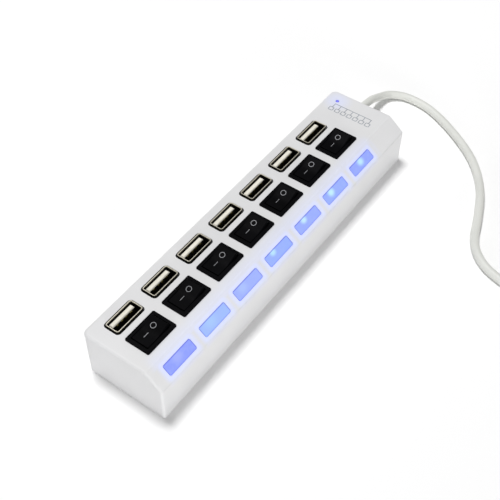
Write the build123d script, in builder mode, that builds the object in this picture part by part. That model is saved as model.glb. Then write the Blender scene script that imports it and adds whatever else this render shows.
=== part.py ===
from build123d import *

import math
import os

# A seven-port USB hub with a rocker switch and a light window for each port, and a captive cord.
# The origin is the middle of the housing's underside. +X points to the cord, +Z up, and the
# light windows are on the sloping face at -Y. Millimetres.

os.makedirs("parts", exist_ok=True)

# housing
LENGTH = 156.4
WIDTH = 34.6
HEIGHT = 21.0
WALL = 2.0
SLOPE_ANGLE = 38.0
SLOPE_LENGTH = 8.8
FRONT_CORNER_RADIUS = 1.0
BACK_CORNER_RADIUS = 2.5
EDGE_RADIUS = 1.1
ASSEMBLY_GAP = 0.1
SLOPE_RUN = SLOPE_LENGTH * math.cos(math.radians(SLOPE_ANGLE))
SLOPE_DROP = SLOPE_LENGTH * math.sin(math.radians(SLOPE_ANGLE))
CREASE_Y = -WIDTH / 2 + SLOPE_RUN

# ports along the length
PORTS = 7
PITCH = 19.1
MIDDLE_PORT_X = -7.4
PORT_XS = [MIDDLE_PORT_X + PITCH * (i - PORTS // 2) for i in range(PORTS)]

# circuit board
BOARD_LENGTH = 148.0
BOARD_WIDTH = 28.0
BOARD_BOTTOM = 6.0
BOARD_TOP = 7.6
PIN_END = 4.9
CHIP_BODY = (10.2, 5.3, 1.5)
CHIP_SPAN = 7.2
CHIP_LEADS = 14
CHIP_PLACES = [(68.4, -1.6, 90), (PORT_XS[3] + PITCH / 2, -10.6, 0)]
CAN_PLACE = (66.4, 10.2)
LED_Y = -12.0
CAPACITOR_Y = 4.8

# screws, through base plate posts and board into housing bosses
SCREW_XS = [PORT_XS[0] + PITCH / 2, 61.0]
SCREW_Y = 8.0
SCREW_POINTS = [(x, y) for x in SCREW_XS for y in (-SCREW_Y, SCREW_Y)]
BOSS_RADIUS = 2.0
POST_RADIUS = 2.8
SCREW_RADIUS = 0.9
SCREW_HEAD_RADIUS = 1.8
SCREW_HEAD_HEIGHT = 1.2
SCREW_TOP = 15.0
HEAD_TOP = 1.5

# USB receptacles
USB_Y = 9.8
USB_TOP = 21.7
USB_OUTER = (13.1, 5.7)
USB_INNER = (12.5, 5.12)
USB_CORNER = 0.8
USB_LEAD_IN = 0.12
USB_CUTOUT = (14.4, 7.3)
USB_CUTOUT_CORNER = 1.5
TONGUE = (11.1, 1.84)
TONGUE_SHIFT = 1.25
TONGUE_END = USB_TOP - 0.9
USB_BLOCK_TOP = 10.2
CONTACT_XS = (-3.5, -1.0, 1.0, 3.5)
CONTACT_WIDTH = 1.0
CONTACT_THICKNESS = 0.25
CONTACT_BULGE = 0.55
USB_CONTACT_Y = USB_Y + TONGUE_SHIFT - TONGUE[1] / 2 - CONTACT_THICKNESS / 2

# rocker switches
SWITCH_Y = -1.6
SWITCH_SHIFT = 0.35
SWITCH_XS = [x + SWITCH_SHIFT for x in PORT_XS]
BEZEL = (15.0, 10.4)
BEZEL_TOP = 21.7
SWITCH_OUTER = (13.2, 9.2)
SWITCH_INNER = (12.2, 7.6)
SWITCH_CUTOUT = (13.4, 9.4)
SWITCH_BOTTOM = 11.0
SWITCH_FLOOR = 1.0
PIVOT_Z = 20.1
PIVOT_RADIUS = 0.7
PIVOT_CLEARANCE = 0.05
ROCKER_TILT = 10.0
ROCKER_RADIUS = 5.9
ROCKER_WIDTH = 7.2
ROCKER_CROWN = 1.7
ROCKER_SKIRT = 2.6
VALLEY_RADIUS = 8.0
NOSE_WIDTH = 2.4
NOSE_LENGTH = 6.3
BLADE_Z = 13.0
BLADE_TILT = 6.0
BLADE = (9.0, 3.4, 0.4)
FULCRUM_RADIUS = 0.35
TERMINAL_XS = (-4.2, 0.0, 4.2)
TERMINAL = (0.6, 3.0)

# light windows on the slope, and the indicator near the cord
WINDOW = (14.2, 4.5)
WINDOW_DOWN_SLOPE = 4.8
WINDOW_CORNER = 0.7
WINDOW_FLANGE = (15.4, 5.4, 0.8)
WINDOW_RECESS = 0.1
POWER_LED = (72.5, 11.9)
POWER_LED_RADIUS = 0.75

# cord
CORD_DIAMETER = 3.5
CORD_Y = 7.7
CORD_Z = 9.7
RELIEF_END_X = 84.5
RELIEF_NECK_RADIUS = 2.6
RELIEF_FLANGE_RADIUS = 3.5
RELIEF_FLANGE = 1.2
FLOOR_Z = CORD_DIAMETER / 2
ROUTE = [
    (RELIEF_END_X, CORD_Y, CORD_Z),
    (93.5, 7.6, 9.3),
    (102.4, 8.5, 4.3),
    (109.7, 6.7, 2.4),
    (113.7, 0.3, FLOOR_Z),
    (113.4, -9.0, FLOOR_Z),
    (111.2, -17.0, FLOOR_Z),
    (104.3, -30.1, FLOOR_Z),
    (95.0, -43.4, FLOOR_Z),
    (82.0, -53.9, FLOOR_Z),
    (65.5, -60.8, FLOOR_Z),
    (53.0, -64.9, FLOOR_Z),
    (44.6, -73.1, FLOOR_Z),
    (41.3, -85.1, FLOOR_Z),
    (39.6, -94.4, FLOOR_Z),
    (38.7, -102.2, FLOOR_Z),
]
COIL_CENTRE = (59.5, -105.1)
COIL_INNER_TURN = 17.5
COIL_OUTER_TURN = COIL_INNER_TURN + CORD_DIAMETER
TIE_THICKNESS = 0.5
TIE_WIDTH_ANGLE = 24.0
TIE_ANGLE = 250.0
COIL_HEIGHT = 2 * CORD_DIAMETER
COIL_EXIT_ANGLE = 320.0
TAIL_RUN = 8.0

# plug
PLUG_NECK = 8.0
PLUG_GRIP = (16.0, 8.0, 22.0)
PLUG_SHELL = (12.0, 4.5, 18.5)
PLUG_SHELL_WALL = 0.3
PLUG_SHELL_DEPTH = 6.0
PLUG_Z = PLUG_GRIP[1] / 2


def save(piece, name):
    piece.part.label = name
    export_step(piece.part, f"parts/{name}.step")


def housing_outline(bottom):
    """Half-open cross-section of the housing: (y, z) corners, from the back foot round to the front."""
    return [
        (WIDTH / 2, bottom),
        (WIDTH / 2, HEIGHT),
        (CREASE_Y, HEIGHT),
        (-WIDTH / 2, HEIGHT - SLOPE_DROP),
        (-WIDTH / 2, bottom),
    ]


def slope_plane(x, depth):
    """Plane parallel to the slope, depth below its surface, centred on the light window at x."""
    angle = math.radians(SLOPE_ANGLE)
    y = CREASE_Y - WINDOW_DOWN_SLOPE * math.cos(angle) + depth * math.sin(angle)
    z = HEIGHT - WINDOW_DOWN_SLOPE * math.sin(angle) - depth * math.cos(angle)
    return Plane(origin=(x, y, z), x_dir=(1, 0, 0), z_dir=(0, -math.sin(angle), math.cos(angle)))


def make_upper_shell():
    with BuildPart() as shell:
        with BuildSketch(Plane.YZ.offset(-LENGTH / 2)):
            with BuildLine():
                Polyline(*housing_outline(0), close=True)
            make_face()
        extrude(amount=LENGTH)
        upright = shell.edges().filter_by(Axis.Z).group_by(Axis.Y)
        fillet(upright[0], radius=FRONT_CORNER_RADIUS)
        fillet(upright[-1], radius=BACK_CORNER_RADIUS)
        top = shell.faces().sort_by(Axis.Z)[-1]
        slope = shell.faces().filter_by(lambda f: f.normal_at().Y < -0.3 and f.normal_at().Z > 0.3)
        rim_edges = top.edges() + slope.edges()
        fillet(set(rim_edges), radius=EDGE_RADIUS)

        # hollow, open underneath
        with BuildSketch(Plane.YZ.offset(-LENGTH / 2 + WALL)):
            with BuildLine():
                Polyline(*housing_outline(-WALL), close=True)
            make_face()
            offset(amount=-WALL, kind=Kind.INTERSECTION, mode=Mode.REPLACE)
        extrude(amount=LENGTH - 2 * WALL, mode=Mode.SUBTRACT)

        # screw bosses, down to the board
        with BuildSketch(Plane.XY.offset(BOARD_TOP)):
            with Locations(*SCREW_POINTS):
                Circle(BOSS_RADIUS)
        extrude(amount=HEIGHT - WALL / 2 - BOARD_TOP)
        with BuildSketch(Plane.XY.offset(BOARD_TOP)):
            with Locations(*SCREW_POINTS):
                Circle(SCREW_RADIUS + ASSEMBLY_GAP / 2)
        extrude(amount=SCREW_TOP + 1 - BOARD_TOP, mode=Mode.SUBTRACT)

        # openings through the top
        with BuildSketch(Plane.XY.offset(HEIGHT - WALL)):
            with Locations(*[(x, USB_Y) for x in PORT_XS]):
                RectangleRounded(*USB_CUTOUT, radius=USB_CUTOUT_CORNER)
            with Locations(*[(x, SWITCH_Y) for x in SWITCH_XS]):
                Rectangle(*SWITCH_CUTOUT)
            with Locations(POWER_LED):
                Circle(POWER_LED_RADIUS + ASSEMBLY_GAP / 2)
        extrude(amount=WALL, mode=Mode.SUBTRACT)
        for x in PORT_XS:
            with BuildSketch(slope_plane(x, WALL)):
                RectangleRounded(*WINDOW, radius=WINDOW_CORNER)
            extrude(amount=WALL, mode=Mode.SUBTRACT)

        # cord hole in the end wall
        with BuildSketch(Plane.YZ.offset(LENGTH / 2 - WALL)):
            with Locations((CORD_Y, CORD_Z)):
                Circle(RELIEF_NECK_RADIUS + ASSEMBLY_GAP)
        extrude(amount=WALL, mode=Mode.SUBTRACT)
    return shell


def make_base_plate():
    inner_length = LENGTH - 2 * (WALL + ASSEMBLY_GAP)
    inner_width = WIDTH - 2 * (WALL + ASSEMBLY_GAP)
    with BuildPart() as plate:
        with BuildSketch(Plane.XY):
            RectangleRounded(inner_length, inner_width, radius=0.5)
        extrude(amount=WALL)
        with BuildSketch(Plane.XY.offset(WALL)):
            with Locations(*SCREW_POINTS):
                Circle(POST_RADIUS)
        extrude(amount=BOARD_BOTTOM - WALL)
        with BuildSketch(Plane.XY):
            with Locations(*SCREW_POINTS):
                Circle(SCREW_RADIUS + 2 * ASSEMBLY_GAP)
        extrude(amount=BOARD_BOTTOM, mode=Mode.SUBTRACT)
        with BuildSketch(Plane.XY):
            with Locations(*SCREW_POINTS):
                Circle(SCREW_HEAD_RADIUS + 2 * ASSEMBLY_GAP)
        extrude(amount=HEAD_TOP, mode=Mode.SUBTRACT)
        # ribs that stiffen the plate between the posts
        with BuildSketch(Plane.XY.offset(WALL)):
            with Locations((sum(SCREW_XS) / 2, SCREW_Y), (sum(SCREW_XS) / 2, -SCREW_Y)):
                Rectangle(SCREW_XS[1] - SCREW_XS[0] - 2 * POST_RADIUS - 1, 1.2)
        extrude(amount=1.5)
    return plate


def make_case_screws():
    with BuildPart() as screws:
        with BuildSketch(Plane.XY.offset(HEAD_TOP - SCREW_HEAD_HEIGHT)):
            with Locations(*SCREW_POINTS):
                Circle(SCREW_HEAD_RADIUS)
        extrude(amount=SCREW_HEAD_HEIGHT)
        with BuildSketch(Plane.XY.offset(HEAD_TOP)):
            with Locations(*SCREW_POINTS):
                Circle(SCREW_RADIUS)
        extrude(amount=SCREW_TOP - HEAD_TOP)
        # cross recess
        with BuildSketch(Plane.XY.offset(HEAD_TOP - SCREW_HEAD_HEIGHT)):
            with Locations(*SCREW_POINTS):
                Rectangle(2.0, 0.5)
                Rectangle(0.5, 2.0)
        extrude(amount=0.7, mode=Mode.SUBTRACT)
    return screws


def make_main_pcb():
    with BuildPart() as board:
        with BuildSketch(Plane.XY.offset(BOARD_BOTTOM)):
            RectangleRounded(BOARD_LENGTH, BOARD_WIDTH, radius=1.0)
            with Locations(*SCREW_POINTS):
                Circle(SCREW_RADIUS + 2 * ASSEMBLY_GAP, mode=Mode.SUBTRACT)
            with Locations(*[(x + dx, USB_CONTACT_Y) for x in PORT_XS for dx in CONTACT_XS]):
                Circle(0.65, mode=Mode.SUBTRACT)
            with Locations(*[(x + dx, SWITCH_Y) for x in SWITCH_XS for dx in TERMINAL_XS]):
                Rectangle(TERMINAL[0] + 0.4, TERMINAL[1] + 0.4, mode=Mode.SUBTRACT)
        extrude(amount=BOARD_TOP - BOARD_BOTTOM)
    return board


def make_hub_chips():
    with BuildPart() as chips:
        for x, y, turn in CHIP_PLACES:
            with Locations(Location((x, y, BOARD_TOP), (0, 0, turn))):
                with Locations((0, 0, 0.1)):
                    Box(*CHIP_BODY, align=(Align.CENTER, Align.CENTER, Align.MIN))
                with GridLocations(0.65, 1, CHIP_LEADS, 1):
                    Box(0.3, CHIP_SPAN, 0.3, align=(Align.CENTER, Align.CENTER, Align.MIN))
    return chips


def make_crystal():
    with BuildPart() as crystal:
        with BuildSketch(Plane.XY.offset(BOARD_TOP)):
            with Locations((69.0, -10.2)):
                RectangleRounded(5.0, 3.2, radius=0.3)
        extrude(amount=1.1)
    return crystal


def make_capacitors():
    with BuildPart() as capacitors:
        with BuildSketch(Plane.XY.offset(BOARD_TOP)):
            with Locations(CAN_PLACE):
                Circle(2.4)
        extrude(amount=6.5)
        fillet(capacitors.edges().group_by(Axis.Z)[-1], radius=0.5)
        # one ceramic capacitor beside each receptacle
        with BuildSketch(Plane.XY.offset(BOARD_TOP)):
            with Locations(*[(x - 2.0, CAPACITOR_Y) for x in PORT_XS]):
                Rectangle(1.6, 0.8)
        extrude(amount=0.8)
    return capacitors


def make_chip_resistors():
    with BuildPart() as resistors:
        with BuildSketch(Plane.XY.offset(BOARD_TOP)):
            with Locations(*[(x + 3.4, LED_Y) for x in PORT_XS[:3] + PORT_XS[4:]]):
                Rectangle(0.8, 1.6)
            with Locations(*[(x + 2.0, CAPACITOR_Y) for x in PORT_XS]):
                Rectangle(1.6, 0.8)
        extrude(amount=0.5)
    return resistors


def make_usb_shell(x):
    """Drawn steel sleeve whose rim stands a little proud of the housing."""
    wall = (USB_OUTER[0] - USB_INNER[0]) / 2
    with BuildPart() as shell:
        with BuildSketch(Plane.XY.offset(BOARD_TOP)):
            with Locations((x, USB_Y)):
                RectangleRounded(*USB_OUTER, radius=USB_CORNER)
                RectangleRounded(*USB_INNER, radius=USB_CORNER - wall, mode=Mode.SUBTRACT)
        extrude(amount=USB_TOP - BOARD_TOP)
        mouth = shell.faces().sort_by(Axis.Z)[-1].inner_wires()[0]
        chamfer(mouth.edges(), length=USB_LEAD_IN)
        # two spring fingers are cut out of each broad wall
        for side in (-1, 1):
            origin = (x, USB_Y + side * USB_OUTER[1] / 2, 14.6)
            with BuildSketch(Plane(origin=origin, x_dir=(1, 0, 0), z_dir=(0, -side, 0))):
                with GridLocations(5.0, 0, 2, 1):
                    Rectangle(2.4, 5.6)
                    with Locations((0, -0.4)):
                        Rectangle(1.6, 4.8, mode=Mode.SUBTRACT)
            extrude(amount=1.0, mode=Mode.SUBTRACT)
    return shell


def make_usb_insulators():
    with BuildPart() as insulators:
        with BuildSketch(Plane.XY.offset(BOARD_TOP)):
            with Locations(*[(x, USB_Y) for x in PORT_XS]):
                RectangleRounded(*(size - ASSEMBLY_GAP for size in USB_INNER), radius=USB_CORNER)
        extrude(amount=USB_BLOCK_TOP - BOARD_TOP)
        with BuildSketch(Plane.XY.offset(USB_BLOCK_TOP)):
            with Locations(*[(x, USB_Y + TONGUE_SHIFT) for x in PORT_XS]):
                Rectangle(*TONGUE)
        extrude(amount=TONGUE_END - USB_BLOCK_TOP)
        chamfer(insulators.edges().group_by(Axis.Z)[-1], length=0.3)
        # slots for the contacts through each block
        with BuildSketch(Plane.XY.offset(BOARD_TOP)):
            with Locations(*[(x + dx, USB_CONTACT_Y) for x in PORT_XS for dx in CONTACT_XS]):
                Rectangle(CONTACT_WIDTH + 0.1, CONTACT_THICKNESS)
        extrude(amount=USB_BLOCK_TOP - BOARD_TOP, mode=Mode.SUBTRACT)
    return insulators


def make_usb_contacts():
    """Four sprung strips per receptacle, on the tongue's -Y face, bowed out near the tip."""
    back = USB_Y + TONGUE_SHIFT - TONGUE[1] / 2
    front = back - CONTACT_THICKNESS
    bow = [
        (back, PIN_END),
        (back, TONGUE_END - 0.6),
        (front, TONGUE_END - 0.6),
        (front - CONTACT_BULGE, TONGUE_END - 2.0),
        (front, TONGUE_END - 3.8),
        (front, PIN_END),
    ]
    with BuildPart() as contacts:
        for x in PORT_XS:
            for dx in CONTACT_XS:
                with BuildSketch(Plane.YZ.offset(x + dx - CONTACT_WIDTH / 2)):
                    with BuildLine():
                        Polyline(*bow, close=True)
                    make_face()
                extrude(amount=CONTACT_WIDTH)
    return contacts


def make_switch_body(x):
    with BuildPart() as body:
        with BuildSketch(Plane.XY.offset(SWITCH_BOTTOM)):
            with Locations((x, SWITCH_Y)):
                Rectangle(*SWITCH_OUTER)
        extrude(amount=HEIGHT - SWITCH_BOTTOM)
        with BuildSketch(Plane.XY.offset(HEIGHT)):
            with Locations((x, SWITCH_Y)):
                RectangleRounded(*BEZEL, radius=0.6)
        extrude(amount=BEZEL_TOP - HEIGHT)
        fillet(body.edges().group_by(Axis.Z)[-1], radius=0.3)
        with BuildSketch(Plane.XY.offset(SWITCH_BOTTOM + SWITCH_FLOOR)):
            with Locations((x, SWITCH_Y)):
                Rectangle(*SWITCH_INNER)
        extrude(amount=BEZEL_TOP - SWITCH_BOTTOM - SWITCH_FLOOR, mode=Mode.SUBTRACT)
        # snap barbs that hold the body in the housing's cut-out
        for side in (-1, 1):
            edge = side * SWITCH_OUTER[0] / 2
            with BuildSketch(Plane(origin=(x, SWITCH_Y, HEIGHT - WALL), x_dir=(1, 0, 0), z_dir=(0, -1, 0))):
                with BuildLine():
                    Polyline((edge, 0), (edge + side * 0.5, 0), (edge, -2.5), close=True)
                make_face()
            extrude(amount=1.5, both=True)
        # pivot bore through both side walls
        with BuildSketch(Plane.XZ.offset(-SWITCH_Y - SWITCH_OUTER[1] / 2)):
            with Locations((x, PIVOT_Z)):
                Circle(PIVOT_RADIUS + PIVOT_CLEARANCE)
        extrude(amount=SWITCH_OUTER[1], mode=Mode.SUBTRACT)
        # slots for the terminals
        with BuildSketch(Plane.XY.offset(SWITCH_BOTTOM)):
            with Locations(*[(x + dx, SWITCH_Y) for dx in TERMINAL_XS]):
                Rectangle(TERMINAL[0] + 0.1, TERMINAL[1] + 0.1)
        extrude(amount=SWITCH_FLOOR, mode=Mode.SUBTRACT)
    return body


def tilted_plane(x, z, tilt):
    """XZ plane through the switch's centre at height z, its +X end raised by tilt degrees."""
    angle = math.radians(tilt)
    return Plane(origin=(x, SWITCH_Y, z), x_dir=(math.cos(angle), 0, math.sin(angle)), z_dir=(0, -1, 0))


def make_rocker(x):
    """A paddle with a shallow V top, ends that are arcs about the pivot, pivot pins and a nose below."""
    tilt = math.radians(ROCKER_TILT)
    drop = ROCKER_CROWN * math.sin(tilt)
    reach = math.sqrt(ROCKER_RADIUS**2 - ROCKER_CROWN**2 + drop**2) - drop
    top_x = reach * math.cos(tilt)
    top_z = ROCKER_CROWN + reach * math.sin(tilt)
    skirt_x = math.sqrt(ROCKER_RADIUS**2 - ROCKER_SKIRT**2)
    plane = tilted_plane(x, PIVOT_Z, ROCKER_TILT)
    with BuildPart() as rocker:
        with BuildSketch(plane):
            with BuildLine():
                Polyline((-top_x, top_z), (0, ROCKER_CROWN), (top_x, top_z))
                ThreePointArc((top_x, top_z), (ROCKER_RADIUS, 0), (skirt_x, -ROCKER_SKIRT))
                Line((skirt_x, -ROCKER_SKIRT), (-skirt_x, -ROCKER_SKIRT))
                ThreePointArc((-skirt_x, -ROCKER_SKIRT), (-ROCKER_RADIUS, 0), (-top_x, top_z))
            make_face()
        extrude(amount=ROCKER_WIDTH / 2, both=True)
        lowest_point = plane.from_local_coords((0, ROCKER_CROWN, 0))
        valley = rocker.edges().filter_by(Axis.Y).sort_by_distance(lowest_point)[0]
        fillet(valley, radius=VALLEY_RADIUS)
        side_edges = rocker.faces().filter_by(Axis.Y).edges()
        fillet(side_edges.filter_by(lambda e: e.center().Z > PIVOT_Z - ROCKER_SKIRT / 2), radius=0.25)
        with BuildSketch(plane):
            Circle(PIVOT_RADIUS)
        extrude(amount=SWITCH_OUTER[1] / 2 - ASSEMBLY_GAP, both=True)
        with BuildSketch(plane):
            with Locations((0, -NOSE_LENGTH / 2)):
                SlotOverall(NOSE_LENGTH, 1.4, rotation=90)
        extrude(amount=NOSE_WIDTH / 2, both=True)
    return rocker


def make_contact_blade(x):
    """See-saw strip with a rolled fulcrum that rocks on the middle terminal."""
    with BuildPart() as blade:
        with BuildSketch(tilted_plane(x, BLADE_Z, -BLADE_TILT)):
            with Locations((0, 0.05 + BLADE[2] / 2)):
                Rectangle(BLADE[0], BLADE[2])
            Circle(FULCRUM_RADIUS)
        extrude(amount=BLADE[1] / 2, both=True)
    return blade


def make_switch_terminals():
    heights = (BLADE_Z - 0.65, BLADE_Z - FULCRUM_RADIUS - 0.05, BLADE_Z - 0.65)
    with BuildPart() as terminals:
        for dx, top in zip(TERMINAL_XS, heights):
            with BuildSketch(Plane.XY.offset(PIN_END)):
                with Locations(*[(x + dx, SWITCH_Y) for x in SWITCH_XS]):
                    Rectangle(*TERMINAL)
            extrude(amount=top - PIN_END)
    return terminals


def make_light_window(x):
    length, width = (size - 2 * ASSEMBLY_GAP for size in WINDOW)
    with BuildPart() as window:
        with BuildSketch(slope_plane(x, WALL)):
            RectangleRounded(length, width, radius=WINDOW_CORNER - ASSEMBLY_GAP)
        extrude(amount=WALL - WINDOW_RECESS)
        with BuildSketch(slope_plane(x, WALL)):
            Rectangle(*WINDOW_FLANGE[:2])
        extrude(amount=-WINDOW_FLANGE[2])
    return window


def make_port_leds():
    with BuildPart() as leds:
        with BuildSketch(Plane.XY.offset(BOARD_TOP)):
            with Locations(*[(x, LED_Y) for x in PORT_XS]):
                Rectangle(3.2, 2.8)
        extrude(amount=1.2)
        with BuildSketch(Plane.XY.offset(BOARD_TOP + 1.2)):
            with Locations(*[(x, LED_Y) for x in PORT_XS]):
                Circle(1.2)
        extrude(amount=0.8, taper=20)
    return leds


def make_power_led():
    with BuildPart() as led:
        with BuildSketch(Plane.XY.offset(HEIGHT - WALL - 3.0)):
            with Locations(POWER_LED):
                Circle(POWER_LED_RADIUS + 0.4)
        extrude(amount=3.0)
        with BuildSketch(Plane.XY.offset(HEIGHT - WALL)):
            with Locations(POWER_LED):
                Circle(POWER_LED_RADIUS)
        extrude(amount=WALL + 0.15)
        fillet(led.edges().group_by(Axis.Z)[-1], radius=0.4)
        with BuildSketch(Plane.XY.offset(BOARD_TOP)):
            with Locations((POWER_LED[0] - 0.7, POWER_LED[1]), (POWER_LED[0] + 0.7, POWER_LED[1])):
                Rectangle(0.5, 0.5)
        extrude(amount=HEIGHT - WALL - 3.0 - BOARD_TOP)
    return led


def make_strain_relief():
    """Moulded on the cord: flange inside the end wall, neck through it, ring and ribbed cone outside."""
    inside = LENGTH / 2 - WALL
    outside = LENGTH / 2
    cone_start = outside + 1.0
    cone_length = RELIEF_END_X - cone_start
    with BuildPart() as relief:
        with BuildSketch(Plane((0, CORD_Y, CORD_Z), x_dir=(1, 0, 0), z_dir=(0, -1, 0))):
            with BuildLine():
                Polyline(
                    (inside - RELIEF_FLANGE, 0),
                    (inside - RELIEF_FLANGE, RELIEF_FLANGE_RADIUS),
                    (inside, RELIEF_FLANGE_RADIUS),
                    (inside, RELIEF_NECK_RADIUS),
                    (outside, RELIEF_NECK_RADIUS),
                    (outside, RELIEF_FLANGE_RADIUS),
                    (cone_start, RELIEF_FLANGE_RADIUS),
                    (cone_start, 2.9),
                    (RELIEF_END_X, 2.2),
                    (RELIEF_END_X, 0),
                    close=True,
                )
            make_face()
        revolve(axis=Axis((0, CORD_Y, CORD_Z), (1, 0, 0)))
        # grooves that let the cone bend
        for step in (0.3, 0.6):
            with BuildSketch(Plane.YZ.offset(cone_start + step * cone_length)):
                with Locations((CORD_Y, CORD_Z)):
                    Circle(3.2)
                    Circle(2.15, mode=Mode.SUBTRACT)
            extrude(amount=0.7, mode=Mode.SUBTRACT)
    return relief


def make_inner_wires():
    start = LENGTH / 2 - WALL - RELIEF_FLANGE
    with BuildPart() as wires:
        for dy in (-1.65, -0.55, 0.55, 1.65):
            with BuildLine() as path:
                FilletPolyline(
                    (start, CORD_Y + dy, CORD_Z),
                    (start - 2.6, CORD_Y + dy, CORD_Z),
                    (start - 2.6, CORD_Y + dy, BOARD_TOP),
                    radius=1.2,
                )
            route = path.wire()
            with BuildSketch(Plane(route @ 0, z_dir=route % 0)):
                Circle(0.45)
            sweep(path=route)
    return wires


def corner_radii(points):
    """The largest arc each corner's two runs allow: 0.45 of the shorter over tan(half the turn)."""
    radii = []
    for before, corner, after in zip(points, points[1:], points[2:]):
        run_in = Vector(*corner) - Vector(*before)
        run_out = Vector(*after) - Vector(*corner)
        half_turn = math.radians(run_in.get_angle(run_out) / 2)
        radii.append(0.45 * min(run_in.length, run_out.length) / math.tan(half_turn))
    return radii


def make_cord_run(points, label):
    radii = corner_radii(points)
    with BuildPart() as tube:
        with BuildLine() as path:
            FilletPolyline(*points, radius=radii)
        route = path.wire()
        with BuildSketch(Plane(route @ 0, z_dir=route % 0)):
            Circle(CORD_DIAMETER / 2)
        sweep(path=route)
    expected = math.pi * CORD_DIAMETER**2 / 4 * route.length
    print(label, "length", round(route.length, 1), "volume ratio", round(tube.part.volume / expected, 4))
    print(label, "radii in diameters", [round(r / CORD_DIAMETER, 1) for r in radii])
    return tube


def coil_section(height, margin):
    """Corners of the coil's section in the XZ plane of its own axis, grown by margin."""
    inner = COIL_INNER_TURN - CORD_DIAMETER / 2 - margin
    outer = COIL_OUTER_TURN + CORD_DIAMETER / 2 + margin
    low = TIE_THICKNESS - margin
    high = TIE_THICKNESS + height + margin
    return (inner + outer) / 2, (low + high) / 2, outer - inner, high - low


def make_cord_coil():
    radius, middle, width, height = coil_section(COIL_HEIGHT, 0)
    with BuildPart() as coil:
        with BuildSketch(Plane((*COIL_CENTRE, 0), x_dir=(1, 0, 0), z_dir=(0, -1, 0))):
            with Locations((radius, middle)):
                RectangleRounded(width, height, radius=1.5)
        revolve(axis=Axis((*COIL_CENTRE, 0), (0, 0, 1)))
    return coil


def make_cord_tie():
    angle = math.radians(TIE_ANGLE - TIE_WIDTH_ANGLE / 2)
    across = (math.cos(angle), math.sin(angle), 0)
    with BuildPart() as tie:
        with BuildSketch(Plane((*COIL_CENTRE, 0), x_dir=across, z_dir=(across[1], -across[0], 0))):
            radius, middle, width, height = coil_section(COIL_HEIGHT, TIE_THICKNESS)
            with Locations((radius, middle)):
                RectangleRounded(width, height, radius=1.5 + TIE_THICKNESS)
            radius, middle, width, height = coil_section(COIL_HEIGHT, 0)
            with Locations((radius, middle)):
                RectangleRounded(width, height, radius=1.5, mode=Mode.SUBTRACT)
        revolve(axis=Axis((*COIL_CENTRE, 0), (0, 0, 1)), revolution_arc=TIE_WIDTH_ANGLE)
    return tie


def tail_direction():
    angle = math.radians(COIL_EXIT_ANGLE + 90)
    return Vector(math.cos(angle), math.sin(angle), 0)


def tail_points():
    """From the top outer turn of the coil, down to the plug's neck."""
    angle = math.radians(COIL_EXIT_ANGLE)
    start = Vector(*COIL_CENTRE, 0) + Vector(math.cos(angle), math.sin(angle), 0) * COIL_OUTER_TURN
    top = TIE_THICKNESS + 1.5 * CORD_DIAMETER
    heights = (top, (top + PLUG_Z) / 2 - 0.2, PLUG_Z)
    step = tail_direction() * TAIL_RUN
    return [tuple(start + step * i + Vector(0, 0, z)) for i, z in enumerate(heights)]


def plug_plane(along):
    """Section plane of the plug, along mm from the end of the cord, its X across the plug."""
    direction = tail_direction()
    origin = Vector(*tail_points()[-1]) + direction * along
    return Plane(origin=origin, x_dir=(-direction.Y, direction.X, 0), z_dir=direction)


def make_plug_body():
    grip_width, grip_height, grip_length = PLUG_GRIP
    with BuildPart() as body:
        with BuildSketch(plug_plane(PLUG_NECK)):
            RectangleRounded(grip_width, grip_height, radius=1.8)
        extrude(amount=grip_length)
        fillet(body.edges().filter_by(plug_plane(0)), radius=0.8)
        with BuildSketch(plug_plane(0)):
            Circle(2.5)
        with BuildSketch(plug_plane(PLUG_NECK)):
            Circle(3.3)
        loft()
        with BuildSketch(plug_plane(PLUG_NECK + grip_length - PLUG_SHELL_DEPTH)):
            Rectangle(PLUG_SHELL[0], PLUG_SHELL[1])
        extrude(amount=PLUG_SHELL_DEPTH, mode=Mode.SUBTRACT)
    return body


def make_plug_shell():
    start = PLUG_NECK + PLUG_GRIP[2] - PLUG_SHELL_DEPTH
    length = PLUG_SHELL_DEPTH + PLUG_SHELL[2]
    inner_width = PLUG_SHELL[0] - 2 * PLUG_SHELL_WALL
    inner_height = PLUG_SHELL[1] - 2 * PLUG_SHELL_WALL
    with BuildPart() as shell:
        with BuildSketch(plug_plane(start)):
            Rectangle(PLUG_SHELL[0], PLUG_SHELL[1])
            Rectangle(inner_width, inner_height, mode=Mode.SUBTRACT)
        extrude(amount=length)
        # two square latch holes in each broad face
        section = plug_plane(start + length - 6.3)
        hole_plane = Plane(origin=section.origin, x_dir=section.x_dir, z_dir=(0, 0, 1))
        with BuildSketch(hole_plane):
            with GridLocations(4.0, 0, 2, 1):
                Rectangle(2.4, 2.1)
        extrude(amount=PLUG_SHELL[1], both=True, mode=Mode.SUBTRACT)
    return shell


def make_plug_insulator():
    start = PLUG_NECK + PLUG_GRIP[2] - PLUG_SHELL_DEPTH
    inner_width = PLUG_SHELL[0] - 2 * PLUG_SHELL_WALL
    inner_height = PLUG_SHELL[1] - 2 * PLUG_SHELL_WALL
    with BuildPart() as insulator:
        with BuildSketch(plug_plane(start)):
            Rectangle(inner_width, inner_height)
        extrude(amount=PLUG_SHELL_DEPTH + 5.0)
        with BuildSketch(plug_plane(start)):
            with Locations((0, -inner_height / 2 + 0.975)):
                Rectangle(inner_width, 1.95)
        extrude(amount=PLUG_SHELL_DEPTH + PLUG_SHELL[2] - 0.8)
    return insulator


def make_plug_contacts():
    start = PLUG_NECK + PLUG_GRIP[2] + 5.0
    inner_height = PLUG_SHELL[1] - 2 * PLUG_SHELL_WALL
    with BuildPart() as contacts:
        with BuildSketch(plug_plane(start)):
            with Locations(*[(x, -inner_height / 2 + 2.025) for x in CONTACT_XS]):
                Rectangle(1.2, 0.15)
        extrude(amount=PLUG_SHELL[2] - 7.0)
    return contacts


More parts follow.
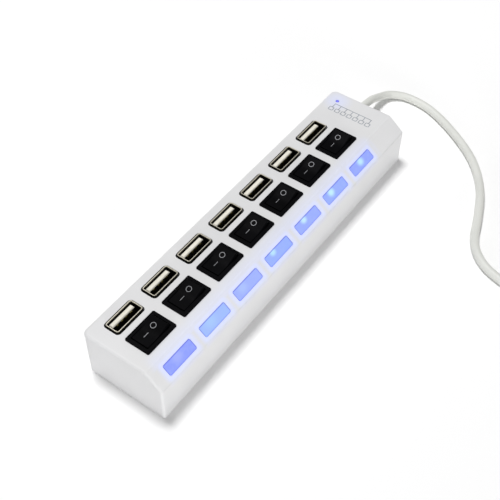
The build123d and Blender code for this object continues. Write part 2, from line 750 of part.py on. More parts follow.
save(make_upper_shell(), "upper_shell")
save(make_base_plate(), "base_plate")
save(make_case_screws(), "case_screws")
save(make_main_pcb(), "main_pcb")
save(make_hub_chips(), "hub_chips")
save(make_crystal(), "crystal")
save(make_capacitors(), "capacitors")
save(make_chip_resistors(), "chip_resistors")
save(make_usb_insulators(), "usb_insulators")
save(make_usb_contacts(), "usb_contacts")
save(make_switch_terminals(), "switch_terminals")
save(make_port_leds(), "port_leds")
save(make_power_led(), "power_led")
save(make_strain_relief(), "strain_relief")
save(make_inner_wires(), "inner_wires")
for number, (port_x, switch_x) in enumerate(zip(PORT_XS, SWITCH_XS), start=1):
    save(make_usb_shell(port_x), f"usb_shell_{number}")
    save(make_switch_body(switch_x), f"switch_body_{number}")
    save(make_rocker(switch_x), f"rocker_{number}")
    save(make_contact_blade(switch_x), f"contact_blade_{number}")
    save(make_light_window(port_x), f"light_window_{number}")
save(make_cord_run(ROUTE, "cord tube"), "cord_tube")
save(make_cord_coil(), "cord_coil")
save(make_cord_tie(), "cord_tie")
save(make_cord_run(tail_points(), "cord tail"), "cord_tail")
save(make_plug_body(), "plug_body")
save(make_plug_shell(), "plug_shell")
save(make_plug_insulator(), "plug_insulator")
save(make_plug_contacts(), "plug_contacts")
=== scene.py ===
import math

import bmesh
import bpy
from mathutils import Euler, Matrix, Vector


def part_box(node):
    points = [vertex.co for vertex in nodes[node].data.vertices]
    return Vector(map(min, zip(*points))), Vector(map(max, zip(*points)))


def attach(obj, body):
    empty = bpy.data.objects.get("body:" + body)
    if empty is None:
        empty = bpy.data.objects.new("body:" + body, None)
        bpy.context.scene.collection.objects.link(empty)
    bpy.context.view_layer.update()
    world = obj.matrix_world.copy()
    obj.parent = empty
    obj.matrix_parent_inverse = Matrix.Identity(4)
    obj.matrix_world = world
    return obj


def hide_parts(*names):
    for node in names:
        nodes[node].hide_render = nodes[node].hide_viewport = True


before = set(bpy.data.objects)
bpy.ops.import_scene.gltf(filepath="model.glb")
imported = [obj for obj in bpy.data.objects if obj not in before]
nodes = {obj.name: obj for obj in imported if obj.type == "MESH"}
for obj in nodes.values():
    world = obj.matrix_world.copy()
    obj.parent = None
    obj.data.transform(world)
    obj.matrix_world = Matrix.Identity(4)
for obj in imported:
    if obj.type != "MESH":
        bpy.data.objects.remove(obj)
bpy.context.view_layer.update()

# A white seven-port USB hub: rocker switches, lit windows on the sloping edge, and a thin captive
# cord. Everything is in metres in the part's own frame: origin under the middle of the housing,
# +X to the cord, +Z up, light windows at -Y.

PORTS = 7
MM = 0.001


def centre(node):
    low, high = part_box(node)
    return (Vector(low) + Vector(high)) / 2


def add_object(name, data):
    made = bpy.data.objects.new(name, data)
    bpy.context.scene.collection.objects.link(made)
    return made


# ---------------------------------------------------------------- camera

CAMERA_PLACE = (-0.19381, -0.13434, 0.27682)
CAMERA_TURN = (40.619, -0.406, -53.996)  # degrees about x, y, z
LENS_MM = 67.45
SENSOR_MM = 36.0
NEAREST_SEEN = 0.01


def make_camera():
    data = bpy.data.cameras.new("camera")
    data.lens = LENS_MM
    data.sensor_width = SENSOR_MM
    data.clip_start = NEAREST_SEEN
    camera = add_object("camera", data)
    camera.location = CAMERA_PLACE
    camera.rotation_euler = Euler([math.radians(angle) for angle in CAMERA_TURN])
    bpy.context.scene.camera = camera


make_camera()

# ---------------------------------------------------------------- cord

CORD_DIAMETER = 0.0035
FLOOR_Z = CORD_DIAMETER / 2
CORD_EXIT = (0.0845, 0.0077, 0.0097)
ROUTE = [
    CORD_EXIT,
    (0.0935, 0.0076, 0.0093),
    (0.1024, 0.0085, 0.0043),
    (0.1097, 0.0067, 0.0024),
    (0.1137, 0.0003, FLOOR_Z),
    (0.1134, -0.0090, FLOOR_Z),
    (0.1112, -0.0170, FLOOR_Z),
    (0.1043, -0.0301, FLOOR_Z),
    (0.0950, -0.0434, FLOOR_Z),
    (0.0820, -0.0539, FLOOR_Z),
    (0.0655, -0.0608, FLOOR_Z),
    (0.0530, -0.0649, FLOOR_Z),
    (0.0446, -0.0731, FLOOR_Z),
    (0.0413, -0.0851, FLOOR_Z),
    (0.0396, -0.0944, FLOOR_Z),
]
COIL_CENTRE = Vector((0.0595, -0.1051, 0))
COIL_INNER_TURN = 0.0175
COIL_OUTER_TURN = COIL_INNER_TURN + CORD_DIAMETER
COIL_LIFT = 0.0005
COIL_ENTRY_ANGLE = 172.0
COIL_EXIT_ANGLE = 320.0
COIL_TURNED = 3 * 360 + COIL_EXIT_ANGLE - COIL_ENTRY_ANGLE
# degrees turned between which the coil lifts off the floor, goes in, climbs on itself and goes out
COIL_LIFTS = (0, 60)
COIL_GOES_IN = (300, 360)
COIL_CLIMBS = (608, 660)
COIL_GOES_OUT = (918, 968)
POINTS_PER_TURN = 16
TAIL_RUN = 0.008
TAIL_DIP = 0.0002
PLUG_Z = 0.004


def ramp(value, start, end):
    """0 before start, 1 after end, smooth between."""
    t = min(max((value - start) / (end - start), 0), 1)
    return t * t * (3 - 2 * t)


def coil_points():
    """About 3.4 turns wound one way: in along the floor, up inside, then out again on top."""
    low = FLOOR_Z + COIL_LIFT
    points = []
    steps = round(COIL_TURNED / 360 * POINTS_PER_TURN)
    for step in range(steps + 1):
        turned = COIL_TURNED * step / steps
        inward = ramp(turned, *COIL_GOES_IN) - ramp(turned, *COIL_GOES_OUT)
        radius = COIL_OUTER_TURN - CORD_DIAMETER * inward
        z = FLOOR_Z + COIL_LIFT * ramp(turned, *COIL_LIFTS) + CORD_DIAMETER * ramp(turned, *COIL_CLIMBS)
        angle = math.radians(COIL_ENTRY_ANGLE + turned)
        # the curve runs inside its points, so all but the end ones stand a little further out
        spread = 1 / math.cos(math.pi / POINTS_PER_TURN) if 0 < step < steps else 1
        outward = Vector((math.cos(angle), math.sin(angle), 0))
        points.append(COIL_CENTRE + outward * (radius * spread) + Vector((0, 0, z)))
    return points, low


def cord_points():
    coil, low = coil_points()
    direction = math.radians(COIL_EXIT_ANGLE + 90)
    along = Vector((math.cos(direction), math.sin(direction), 0)) * TAIL_RUN
    top = low + CORD_DIAMETER
    start = coil[-1].copy()
    start.z = 0
    tail = [
        start + along + Vector((0, 0, (top + PLUG_Z) / 2 - TAIL_DIP)),
        start + along * 2 + Vector((0, 0, PLUG_Z)),
    ]
    return [Vector(p) for p in ROUTE] + coil + tail


def make_cord():
    curve = bpy.data.curves.new("cord", "CURVE")
    curve.dimensions = "3D"
    spline = curve.splines.new("NURBS")
    points = cord_points()
    spline.points.add(len(points) - 1)
    for target, point in zip(spline.points, points):
        target.co = (*point, 1)
        target.radius = CORD_DIAMETER / 2
    spline.order_u = 3
    spline.use_endpoint_u = True
    spline.resolution_u = 12
    curve.bevel_depth = 1.0  # times each point's radius, which is the cord's own
    curve.bevel_resolution = 6
    curve.use_fill_caps = True
    cord = add_object("cord", curve)
    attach(cord, "root")
    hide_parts("cord_tube", "cord_coil", "cord_tail")
    return cord


cord = make_cord()

# ---------------------------------------------------------------- node graphs


class Graph:
    """A material's node tree with a Principled shader, and short ways to add nodes to it."""

    def __init__(self, name, **settings):
        self.material = bpy.data.materials.new(name)
        self.material.use_nodes = True
        self.tree = self.material.node_tree
        self.shader = self.tree.nodes["Principled BSDF"]
        for key, value in settings.items():
            self.shader.inputs[key.replace("_", " ")].default_value = value
        self.place = self.add("ShaderNodeTexCoord").outputs["Object"]

    def add(self, kind, **properties):
        node = self.tree.nodes.new(kind)
        for key, value in properties.items():
            setattr(node, key, value)
        return node

    def feed(self, socket, value):
        if isinstance(value, bpy.types.NodeSocket):
            self.tree.links.new(value, socket)
        else:
            socket.default_value = value

    def math(self, operation, a, b=0.0):
        node = self.add("ShaderNodeMath", operation=operation)
        self.feed(node.inputs[0], a)
        self.feed(node.inputs[1], b)
        return node.outputs[0]

    def length(self, a, b):
        """Square root of a squared plus b squared."""
        squares = self.math("ADD", self.math("MULTIPLY", a, a), self.math("MULTIPLY", b, b))
        return self.math("SQRT", squares)

    def axes(self):
        node = self.add("ShaderNodeSeparateXYZ")
        self.feed(node.inputs[0], self.place)
        return node.outputs

    def noise(self, scale, detail=3.0, roughness=0.5, vector=None):
        node = self.add("ShaderNodeTexNoise")
        self.feed(node.inputs["Vector"], vector or self.place)
        node.inputs["Scale"].default_value = scale
        node.inputs["Detail"].default_value = detail
        node.inputs["Roughness"].default_value = roughness
        return node.outputs["Fac"]

    def stretched(self, x, y, z):
        node = self.add("ShaderNodeMapping")
        self.feed(node.inputs["Vector"], self.place)
        node.inputs["Scale"].default_value = (x, y, z)
        return node.outputs["Vector"]

    def span(self, value, low, high, out_low=0.0, out_high=1.0, smooth=True):
        node = self.add("ShaderNodeMapRange", interpolation_type="SMOOTHSTEP" if smooth else "LINEAR")
        for socket, number in zip(node.inputs, (value, low, high, out_low, out_high)):
            self.feed(socket, number)
        return node.outputs["Result"]

    def blend(self, factor, a, b):
        node = self.add("ShaderNodeMix", data_type="RGBA")
        for socket, value in ((node.inputs[0], factor), (node.inputs[6], a), (node.inputs[7], b)):
            self.feed(socket, value)
        return node.outputs[2]

    def bump(self, height, strength, distance):
        node = self.add("ShaderNodeBump")
        node.inputs["Strength"].default_value = strength
        node.inputs["Distance"].default_value = distance
        self.feed(node.inputs["Height"], height)
        self.tree.links.new(node.outputs[0], self.shader.inputs["Normal"])

    def to(self, name, value):
        self.feed(self.shader.inputs[name], value)


def srgb(red, green, blue):
    """Linear colour of 0-255 screen values."""
    channels = [c / 255 for c in (red, green, blue)]
    linear = [c / 12.92 if c <= 0.04045 else ((c + 0.055) / 1.055) ** 2.4 for c in channels]
    return (*linear, 1.0)


# ---------------------------------------------------------------- materials

SLOPE = math.radians(38)
SLOPE_LENGTH = 0.0088
window_centres = [centre(f"light_window_{i}") for i in range(1, PORTS + 1)]
PITCH = window_centres[1].x - window_centres[0].x
HOUSING_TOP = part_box("upper_shell")[1][2]
CREASE_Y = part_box("upper_shell")[0][1] + SLOPE_LENGTH * math.cos(SLOPE)
WINDOW_WIDTH, WINDOW_HEIGHT = 0.0142, 0.0045
WINDOW_DOWN = 0.0048  # from the crease to a window's middle, along the slope


def below_middle(g, y):
    """Metres down the slope from the middle line of the windows."""
    down = g.math("DIVIDE", g.math("SUBTRACT", CREASE_Y, y), math.cos(SLOPE))
    return g.math("SUBTRACT", down, WINDOW_DOWN)


def beyond(g, value, half_size):
    """How far a value, of either sign, is beyond half a size."""
    return g.math("MAXIMUM", g.math("SUBTRACT", g.math("ABSOLUTE", value), half_size), 0.0)


def window_distances(g, x, y):
    """Metres from the nearest window's edge, and metres above its upper edge."""
    first = window_centres[0].x - PITCH / 2
    along = g.math("MODULO", g.math("SUBTRACT", x, first), PITCH)
    side = beyond(g, g.math("SUBTRACT", along, PITCH / 2), WINDOW_WIDTH / 2)
    down = below_middle(g, y)
    distance = g.length(side, beyond(g, down, WINDOW_HEIGHT / 2))
    return distance, g.math("SUBTRACT", -WINDOW_HEIGHT / 2, down)


def from_indicator(g, x, y):
    """Metres from the axis of the round indicator."""
    led = centre("power_led")
    return g.length(g.math("SUBTRACT", x, led.x), g.math("SUBTRACT", y, led.y))


ROW_FADE = (0.008, 0.012)  # the painted glow ends this far beyond the middles of the end windows


def white_housing():
    """Satin white ABS with a fine moulded grain, and a painted blue glow of light round the windows and
    the indicator.
    """
    g = Graph("white_housing", Roughness=0.42, IOR=1.5, Specular_IOR_Level=0.35)
    grain = g.noise(2600, 2.0)
    cloud = g.noise(45, 3.0)
    tone = g.blend(g.span(cloud, 0.35, 0.65), srgb(216, 216, 217), srgb(219, 219, 220))
    x, y, z = g.axes()
    # painted light: the windows' blue glow, put into the base colour and a faint emission
    distance, above = window_distances(g, x, y)
    near = g.span(distance, 0.0, 0.0031, 1.0, 0.0)
    spread = g.math("MULTIPLY", g.span(distance, 0.001, 0.009, 0.45, 0.0), g.span(above, 0.0, 0.0008))
    leak = g.math("MULTIPLY", g.math("MAXIMUM", near, spread), g.span(z, 0.012, 0.0165))
    first, last = window_centres[0].x, window_centres[-1].x
    row_start = g.span(x, first - ROW_FADE[1], first - ROW_FADE[0])
    row_end = g.span(x, last + ROW_FADE[0], last + ROW_FADE[1], 1.0, 0.0)
    leak = g.math("MULTIPLY", leak, g.math("MULTIPLY", row_start, row_end))
    # painted light: a blue glow round the indicator
    reach = from_indicator(g, x, y)
    spot = g.math("MULTIPLY", g.span(reach, 0.0008, 0.0075, 1.0, 0.0), g.span(z, 0.018, 0.0205))
    glow = g.math("MAXIMUM", leak, g.math("MULTIPLY", spot, 0.6))
    g.to("Base Color", g.blend(g.math("MULTIPLY", glow, 0.55), tone, srgb(205, 214, 255)))
    g.shader.inputs["Emission Color"].default_value = srgb(150, 170, 255)
    g.to("Emission Strength", g.math("MULTIPLY", glow, 0.12))
    g.to("Roughness", g.span(grain, 0.3, 0.7, 0.38, 0.46, smooth=False))
    g.bump(grain, 0.06, 0.00004)
    return g.material


# each window's painted glow colour and painted hot spot colour, then the hot spot's place along the row
# and up the slope and its radius, in millimetres
WINDOW_LOOKS = [
    (srgb(140, 154, 250), srgb(162, 173, 253), -0.6, 1.0, 3.6),
    (srgb(158, 187, 250), srgb(166, 199, 252), -1.8, 1.2, 4.5),
    (srgb(158, 175, 249), srgb(170, 190, 250), -2.6, 0.8, 3.4),
    (srgb(149, 174, 252), srgb(187, 230, 254), -2.3, 1.5, 2.3),
    (srgb(152, 170, 252), srgb(198, 236, 255), -1.5, 1.4, 2.4),
    (srgb(149, 171, 250), srgb(196, 240, 254), -2.2, 0.9, 2.7),
    (srgb(146, 163, 250), srgb(190, 233, 250), -0.1, 0.8, 2.8),
]


SPOT_SQUASH = 1.15  # a hot spot is this much longer along the row than up the slope


def window_material(index):
    """Frosted window with its light painted on as glow: an even blue, a painted hot spot over its LED
    and painted shade darkening the glow at the edge.
    """
    body, hot, spot_along, spot_up, spot_radius = WINDOW_LOOKS[index]
    middle = window_centres[index]
    g = Graph(f"window_blue_{index + 1}", Roughness=0.3, IOR=1.5, Specular_IOR_Level=0.3)
    axes = g.axes()
    along = g.math("SUBTRACT", axes["X"], middle.x)
    down = below_middle(g, axes["Y"])
    spot_x = g.math("SUBTRACT", along, spot_along * MM)
    spot_y = g.math("MULTIPLY", g.math("ADD", down, spot_up * MM), SPOT_SQUASH)
    # painted highlight: the hot spot over the LED
    heat = g.span(g.length(spot_x, spot_y), 0.0004, spot_radius * MM, 1.0, 0.0)
    edge_x = g.math("SUBTRACT", WINDOW_WIDTH / 2, g.math("ABSOLUTE", along))
    edge_y = g.math("SUBTRACT", WINDOW_HEIGHT / 2, g.math("ABSOLUTE", down))
    # painted shade: the glow darkens towards the window's edge
    painted_rim = g.span(g.math("MINIMUM", edge_x, edge_y), 0.00015, 0.0005, 1.0, 0.0)
    mottle = g.span(g.noise(700, 4.0), 0.35, 0.65)
    lit = g.blend(g.math("MULTIPLY", mottle, 0.25), body, srgb(166, 182, 255))
    lit = g.blend(heat, lit, hot)
    lit = g.blend(g.math("MULTIPLY", painted_rim, 0.75), lit, srgb(88, 92, 184))
    g.shader.inputs["Base Color"].default_value = srgb(60, 70, 120)
    g.to("Emission Color", lit)
    g.shader.inputs["Emission Strength"].default_value = 0.93
    g.bump(g.noise(2200, 2.0), 0.05, 0.00004)
    return g.material


def switch_black():
    """Satin black nylon with a faint spark-eroded grain."""
    g = Graph("switch_black", IOR=1.46, Specular_IOR_Level=0.03)
    grain = g.noise(3200, 2.0)
    g.to("Base Color", g.blend(g.span(g.noise(160, 3.0), 0.3, 0.7), srgb(4, 4, 5), srgb(7, 7, 9)))
    g.to("Roughness", g.span(grain, 0.3, 0.7, 0.46, 0.60, smooth=False))
    g.bump(grain, 0.12, 0.00005)
    return g.material


def nickel():
    """Bright nickel plate over drawn steel, with faint draw lines up the walls and a few dull clouds."""
    g = Graph("nickel", Metallic=1.0)
    lines = g.noise(900, 2.0, vector=g.stretched(4.0, 4.0, 0.25))
    cloud = g.span(g.noise(260, 3.0), 0.35, 0.7)
    g.to("Base Color", g.blend(cloud, srgb(214, 208, 194), srgb(188, 180, 162)))
    g.to("Roughness", g.span(lines, 0.3, 0.7, 0.17, 0.33, smooth=False))
    g.bump(lines, 0.08, 0.00003)
    return g.material


def receptacle_steel():
    """Tinned steel sleeve: painted shade makes it dark down its walls, and a painted highlight makes it
    bright along the rim.
    """
    g = Graph("receptacle_steel", IOR=1.5)
    rim_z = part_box("usb_shell_1")[1][2]
    # painted highlight: the rim is drawn pale and less metallic so that it shows as a bright line
    painted_rim = g.span(g.axes()["Z"], rim_z - 0.00022, rim_z - 0.0001)
    lines = g.noise(900, 2.0, vector=g.stretched(4.0, 4.0, 0.25))
    # painted shade: the walls are drawn dark, as if in shadow
    shaded_walls = g.blend(g.span(lines, 0.3, 0.7), srgb(66, 62, 52), srgb(48, 45, 38))
    g.to("Base Color", g.blend(painted_rim, shaded_walls, srgb(226, 220, 202)))
    g.to("Metallic", g.span(painted_rim, 0.0, 1.0, 0.9, 0.55, smooth=False))
    g.to("Roughness", g.span(lines, 0.3, 0.7, 0.24, 0.38, smooth=False))
    g.bump(lines, 0.08, 0.00003)
    return g.material


def receptacle_tongue():
    """Cream nylon, with painted shade darkening it below the mouth."""
    g = Graph("receptacle_tongue", IOR=1.5, Specular_IOR_Level=0.3)
    tip_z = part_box("usb_insulators")[1][2]
    patch = g.span(g.noise(500, 3.0), 0.3, 0.7)
    tip = g.blend(patch, srgb(240, 236, 224), srgb(228, 224, 210))
    # painted shade: below the tip the cream is drawn dark olive, as if in the shadow of the mouth
    shaded_below = g.blend(patch, srgb(74, 72, 56), srgb(58, 56, 44))
    g.to("Base Color", g.blend(g.span(g.axes()["Z"], tip_z - 0.0007, tip_z - 0.0003), shaded_below, tip))
    g.to("Roughness", g.span(patch, 0.0, 1.0, 0.36, 0.48, smooth=False))
    g.bump(g.noise(1800, 2.0), 0.06, 0.00004)
    return g.material


def moulded(name, light, dark, roughness, grain_scale=1800, patch_scale=120, depth=0.08):
    """A moulded, printed or plated look: two close tones in soft patches and a fine grain."""
    g = Graph(name, IOR=1.48)
    grain = g.noise(grain_scale, 2.0)
    g.to("Base Color", g.blend(g.span(g.noise(patch_scale, 3.0), 0.3, 0.7), light, dark))
    g.to("Roughness", g.span(grain, 0.3, 0.7, roughness - 0.06, roughness + 0.06, smooth=False))
    g.bump(grain, depth, 0.00005)
    return g


def plated(name, light, dark, roughness):
    g = moulded(name, light, dark, roughness, grain_scale=1400, patch_scale=300)
    g.shader.inputs["Metallic"].default_value = 1.0
    return g.material


def gold_contact():
    return plated("gold_contact", srgb(212, 178, 104), srgb(184, 148, 80), 0.28)


def brass_terminal():
    return plated("brass_terminal", srgb(196, 168, 104), srgb(168, 138, 80), 0.35)


def screw_steel():
    return plated("screw_steel", srgb(176, 176, 178), srgb(150, 150, 154), 0.3)


def receptacle_contact():
    """Contact springs, dulled by the shade inside the mouth."""
    return plated("receptacle_contact", srgb(132, 122, 74), srgb(104, 96, 58), 0.3)


def chip_black():
    return moulded("chip_black", srgb(24, 24, 25), srgb(14, 14, 15), 0.5).material


def white_base():
    return moulded("white_base", srgb(217, 217, 218), srgb(213, 213, 214), 0.5).material


def plug_cream():
    return moulded("plug_cream", srgb(232, 228, 214), srgb(220, 214, 196), 0.42).material


def led_package():
    return moulded("led_package", srgb(226, 226, 212), srgb(208, 208, 190), 0.3).material


def wire_insulation():
    return moulded("wire_insulation", srgb(150, 34, 30), srgb(132, 26, 24), 0.4).material


def tie_strap():
    return moulded("tie_strap", srgb(206, 206, 202), srgb(192, 192, 188), 0.6).material


def plug_grip():
    return moulded("plug_grip", srgb(226, 226, 219), srgb(219, 219, 211), 0.45).material


def mark_grey():
    return moulded("mark_grey", srgb(146, 147, 150), srgb(128, 129, 133), 0.5, depth=0.03).material


def print_grey():
    return moulded("print_grey", srgb(150, 156, 164), srgb(138, 144, 152), 0.5, depth=0.03).material


def circuit_board():
    """Green solder mask over copper tracks."""
    g = Graph("circuit_board", Roughness=0.35)
    cells = g.add("ShaderNodeTexBrick")
    g.feed(cells.inputs["Vector"], g.place)
    cells.inputs["Scale"].default_value = 400
    cells.inputs["Mortar Size"].default_value = 0.09
    tracks = g.span(cells.outputs["Fac"], 0.2, 0.8)
    g.to("Base Color", g.blend(tracks, srgb(18, 96, 52), srgb(30, 122, 66)))
    g.bump(tracks, 0.2, 0.00004)
    return g.material


def capacitor_sleeve():
    return moulded("capacitor_sleeve", srgb(30, 34, 60), srgb(22, 26, 48), 0.3).material


def indicator_lens():
    """Lit blue lens, deeper at its rim."""
    g = Graph("power_led_lens", Roughness=0.25, IOR=1.5)
    axes = g.axes()
    reach = from_indicator(g, axes["X"], axes["Y"])
    g.shader.inputs["Base Color"].default_value = srgb(70, 72, 170)
    g.to("Emission Color", g.blend(g.span(reach, 0.0002, 0.001), srgb(126, 128, 226), srgb(84, 84, 190)))
    g.shader.inputs["Emission Strength"].default_value = 0.75
    g.bump(g.noise(1500, 2.0), 0.04, 0.00003)
    return g.material


def cord_jacket():
    """Off-white PVC: matt, a little uneven in tone, with fine extrusion grain."""
    g = Graph("cord_jacket", IOR=1.5, Specular_IOR_Level=0.35)
    grain = g.noise(1500, 3.0)
    cloud = g.span(g.noise(60, 3.0), 0.3, 0.7)
    g.to("Base Color", g.blend(cloud, srgb(213, 214, 209), srgb(219, 220, 215)))
    g.to("Roughness", g.span(grain, 0.3, 0.7, 0.4, 0.52, smooth=False))
    g.bump(grain, 0.08, 0.00005)
    return g.material


def assign(material, *names):
    for name in names:
        mesh = nodes[name].data
        mesh.materials.clear()
        mesh.materials.append(material)


def numbered(stem):
    return [f"{stem}_{i}" for i in range(1, PORTS + 1)]


jacket = cord_jacket()
assign(white_housing(), "upper_shell")
assign(white_base(), "base_plate")
assign(screw_steel(), "case_screws")
assign(circuit_board(), "main_pcb")
assign(chip_black(), "hub_chips", "chip_resistors")
assign(nickel(), "crystal", "plug_shell")
assign(receptacle_steel(), *numbered("usb_shell"))
assign(capacitor_sleeve(), "capacitors")
assign(receptacle_tongue(), "usb_insulators")
assign(plug_cream(), "plug_insulator")
assign(receptacle_contact(), "usb_contacts")
assign(gold_contact(), "plug_contacts")
assign(brass_terminal(), "switch_terminals", *numbered("contact_blade"))
assign(led_package(), "port_leds")
assign(indicator_lens(), "power_led")
assign(wire_insulation(), "inner_wires")
assign(tie_strap(), "cord_tie")
assign(plug_grip(), "plug_body")
assign(jacket, "strain_relief")
assign(switch_black(), *numbered("switch_body"), *numbered("rocker"))
for i in range(PORTS):
    assign(window_material(i), f"light_window_{i + 1}")
cord.data.materials.append(jacket)

# ---------------------------------------------------------------- printed marks


def mesh_piece(name, build, material, body):
    """A piece whose mesh build() makes, riding on a body."""
    mesh = bpy.data.meshes.new(name)
    shape = bmesh.new()
    build(shape)
    bmesh.ops.recalc_face_normals(shape, faces=shape.faces)
    shape.to_mesh(mesh)
    shape.free()
    mesh.materials.append(material)
    piece = add_object(name, mesh)
    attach(piece, body)


def join(shape, row, after):
    """Quads between two closed rows of as many corners."""
    for i in range(len(row)):
        j = (i + 1) % len(row)
        shape.faces.new((row[i], row[j], after[j], after[i]))


def prism(shape, outline, thickness, place):
    """A closed slab: an outline of (x, y) corners thickened in z, put where place() says."""
    bottom = [shape.verts.new(place(x, y, 0)) for x, y in outline]
    top = [shape.verts.new(place(x, y, thickness)) for x, y in outline]
    shape.faces.new(bottom[::-1])
    shape.faces.new(top)
    join(shape, bottom, top)


def ring(shape, inner, outer, thickness, place, sides=40):
    """A flat closed ring round place()'s origin."""
    turn = [math.tau * i / sides for i in range(sides)]
    rows = []
    for radius, z in ((inner, 0), (outer, 0), (outer, thickness), (inner, thickness)):
        corners = [place(radius * math.cos(a), radius * math.sin(a), z) for a in turn]
        rows.append([shape.verts.new(corner) for corner in corners])
    for row, after in zip(rows, rows[1:] + rows[:1]):
        join(shape, row, after)


def rounded(width, height, radius, corners=5):
    """Outline of a rounded rectangle round the origin."""
    points = []
    for quarter in range(4):
        sx = 1 if quarter in (0, 3) else -1
        sy = 1 if quarter in (0, 1) else -1
        for step in range(corners + 1):
            angle = math.radians(90 * quarter + 90 * step / corners)
            points.append((sx * (width / 2 - radius) + radius * math.cos(angle),
                           sy * (height / 2 - radius) + radius * math.sin(angle)))
    return points


PRINT_THICKNESS = 0.00002
PRINT_LIFT = PRINT_THICKNESS / 4
ROCKER_TILT = math.radians(10)
ROCKER_CROWN = 0.0017
VALLEY_RADIUS = 0.008
PIVOT_Z = 0.0201
OFF_MARK = (0.00245, 0.00055)
ON_MARK = (-0.0017, 0.00035)
OFF_RADIUS = 0.0011
OFF_LINE = 0.00019
ON_SIZE = (0.0023, 0.00019)
ON_STEPS = 8


def face_height(x):
    """Height of a paddle's face above its crown: two slopes joined by a round valley over the pivot."""
    if abs(x) < VALLEY_RADIUS * math.sin(ROCKER_TILT):
        return VALLEY_RADIUS / math.cos(ROCKER_TILT) - math.sqrt(VALLEY_RADIUS**2 - x**2)
    return math.tan(ROCKER_TILT) * abs(x)


def rocker_face(number, mark):
    """place() for a mark at (x, y) from the pivot on a paddle's face, the paddle being at rest."""
    joint = centre(f"switch_body_{number}")
    cos, sin = math.cos(ROCKER_TILT), math.sin(ROCKER_TILT)

    def place(u, v, w):
        local_x = mark[0] + u
        local_z = ROCKER_CROWN + face_height(local_x) + w + PRINT_LIFT
        x = joint.x + local_x * cos - local_z * sin
        return (x, joint.y + mark[1] + v, PIVOT_Z + local_x * sin + local_z * cos)

    return place


def off_mark(shape, number):
    """A ring on the half that is raised at rest."""
    place = rocker_face(number, OFF_MARK)
    ring(shape, OFF_RADIUS - OFF_LINE, OFF_RADIUS, PRINT_THICKNESS, place)


def on_mark(shape, number):
    """A bar on the half that is pressed at rest, in short steps, so that it follows the valley."""
    length, width = ON_SIZE
    place = rocker_face(number, ON_MARK)
    half = width / 2
    section = [(-half, 0), (half, 0), (half, PRINT_THICKNESS), (-half, PRINT_THICKNESS)]
    rows = []
    for step in range(ON_STEPS + 1):
        x = length * (step / ON_STEPS - 0.5)
        rows.append([shape.verts.new(place(x, y, z)) for y, z in section])
    for row, after in zip(rows, rows[1:]):
        join(shape, row, after)
    shape.faces.new(rows[0][::-1])
    shape.faces.new(rows[-1])


mark_ink = mark_grey()
for i in range(1, PORTS + 1):
    mesh_piece(f"mark_off_{i}", lambda s: off_mark(s, i), mark_ink, f"rocker_{i}")
    mesh_piece(f"mark_on_{i}", lambda s: on_mark(s, i), mark_ink, f"rocker_{i}")

MAP_BAR_X = 0.0706
MAP_ROW_X = 0.0672
MAP_MIDDLE_Y = 0.0029
MAP_STEP = 0.0029
MAP_SQUARE = 0.0019
MAP_LINE = 0.0003
MAP_END_RADIUS = MAP_LINE / 2.2
MAP_CORNER_RADIUS = MAP_LINE / 4


def port_map(shape):
    """Seven outlined squares joined to one bar, a plain map of the seven ports, beside the switches."""
    size, line = MAP_SQUARE, MAP_LINE

    def bar(x, y, width, height, radius):
        def place(u, v, w):
            return (x + u, y + v, HOUSING_TOP + PRINT_LIFT + w)

        prism(shape, rounded(width, height, radius), PRINT_THICKNESS, place)

    bar(MAP_BAR_X, MAP_MIDDLE_Y, line, MAP_STEP * (PORTS - 1) + line, MAP_END_RADIUS)
    stem = MAP_BAR_X - MAP_ROW_X - size / 2 - line / 2
    for i in range(PORTS):
        y = MAP_MIDDLE_Y + MAP_STEP * (i - (PORTS - 1) / 2)
        bar(MAP_ROW_X + size / 2 + stem / 2, y, stem, line, MAP_END_RADIUS)
        for side in (1, -1):
            bar(MAP_ROW_X, y + side * size / 2, size, line, MAP_CORNER_RADIUS)
        for side in (1, -1):
            bar(MAP_ROW_X + side * size / 2, y, line, size - line, MAP_CORNER_RADIUS)


mesh_piece("port_map_print", port_map, print_grey(), "root")

# ---------------------------------------------------------------- floor and light


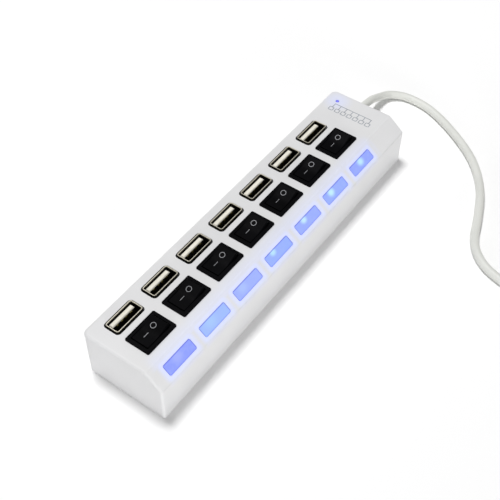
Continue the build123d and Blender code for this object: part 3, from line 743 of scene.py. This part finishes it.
FLOOR_REACH = 3.0
WORLD_STRENGTH = 0.30


def pale_floor():
    g = Graph("pale_floor", Roughness=0.9, Specular_IOR_Level=0.1)
    g.to("Base Color", g.blend(g.noise(8, 2.0), (0.965, 0.965, 0.965, 1), (0.975, 0.975, 0.975, 1)))
    return g.material


def make_floor():
    mesh = bpy.data.meshes.new("floor")
    r = FLOOR_REACH
    mesh.from_pydata([(-r, -r, 0), (r, -r, 0), (r, r, 0), (-r, r, 0)], [], [(0, 1, 2, 3)])
    mesh.materials.append(pale_floor())
    floor = add_object("floor", mesh)


KEY_BEARING, KEY_HEIGHT, KEY_DISTANCE = 75, 75, 1.35
KEY_SIZE, KEY_WATTS = (0.35, 0.35), 13.4
FILL_BEARING, FILL_HEIGHT, FILL_DISTANCE = 230, 6, 1.2
FILL_SIZE, FILL_WATTS = (0.7, 0.2), 7.6


def from_direction(bearing, height, distance):
    """A place seen from the object at a bearing, degrees from +X towards +Y, and a height in degrees."""
    turn, rise = math.radians(bearing), math.radians(height)
    level = math.cos(rise)
    return Vector((math.cos(turn) * level, math.sin(turn) * level, math.sin(rise))) * distance


def soft_light(name, size, power, place):
    """A rectangular light at a place, turned to the origin."""
    data = bpy.data.lights.new(name, "AREA")
    data.shape = "RECTANGLE"
    data.size, data.size_y = size
    data.energy = power
    lamp = add_object(name, data)
    lamp.location = place
    lamp.rotation_euler = (-place).to_track_quat("-Z", "Y").to_euler()


make_floor()
soft_light("key", KEY_SIZE, KEY_WATTS, from_direction(KEY_BEARING, KEY_HEIGHT, KEY_DISTANCE))
soft_light("fill", FILL_SIZE, FILL_WATTS, from_direction(FILL_BEARING, FILL_HEIGHT, FILL_DISTANCE))
world = bpy.data.worlds.new("world")
world.use_nodes = True
background = world.node_tree.nodes["Background"]
background.inputs["Color"].default_value = (1, 1, 1, 1)
background.inputs["Strength"].default_value = WORLD_STRENGTH
scene = bpy.context.scene
scene.world = world
scene.view_settings.view_transform = "Standard"
scene.view_settings.look = "None"

bpy.context.view_layer.update()
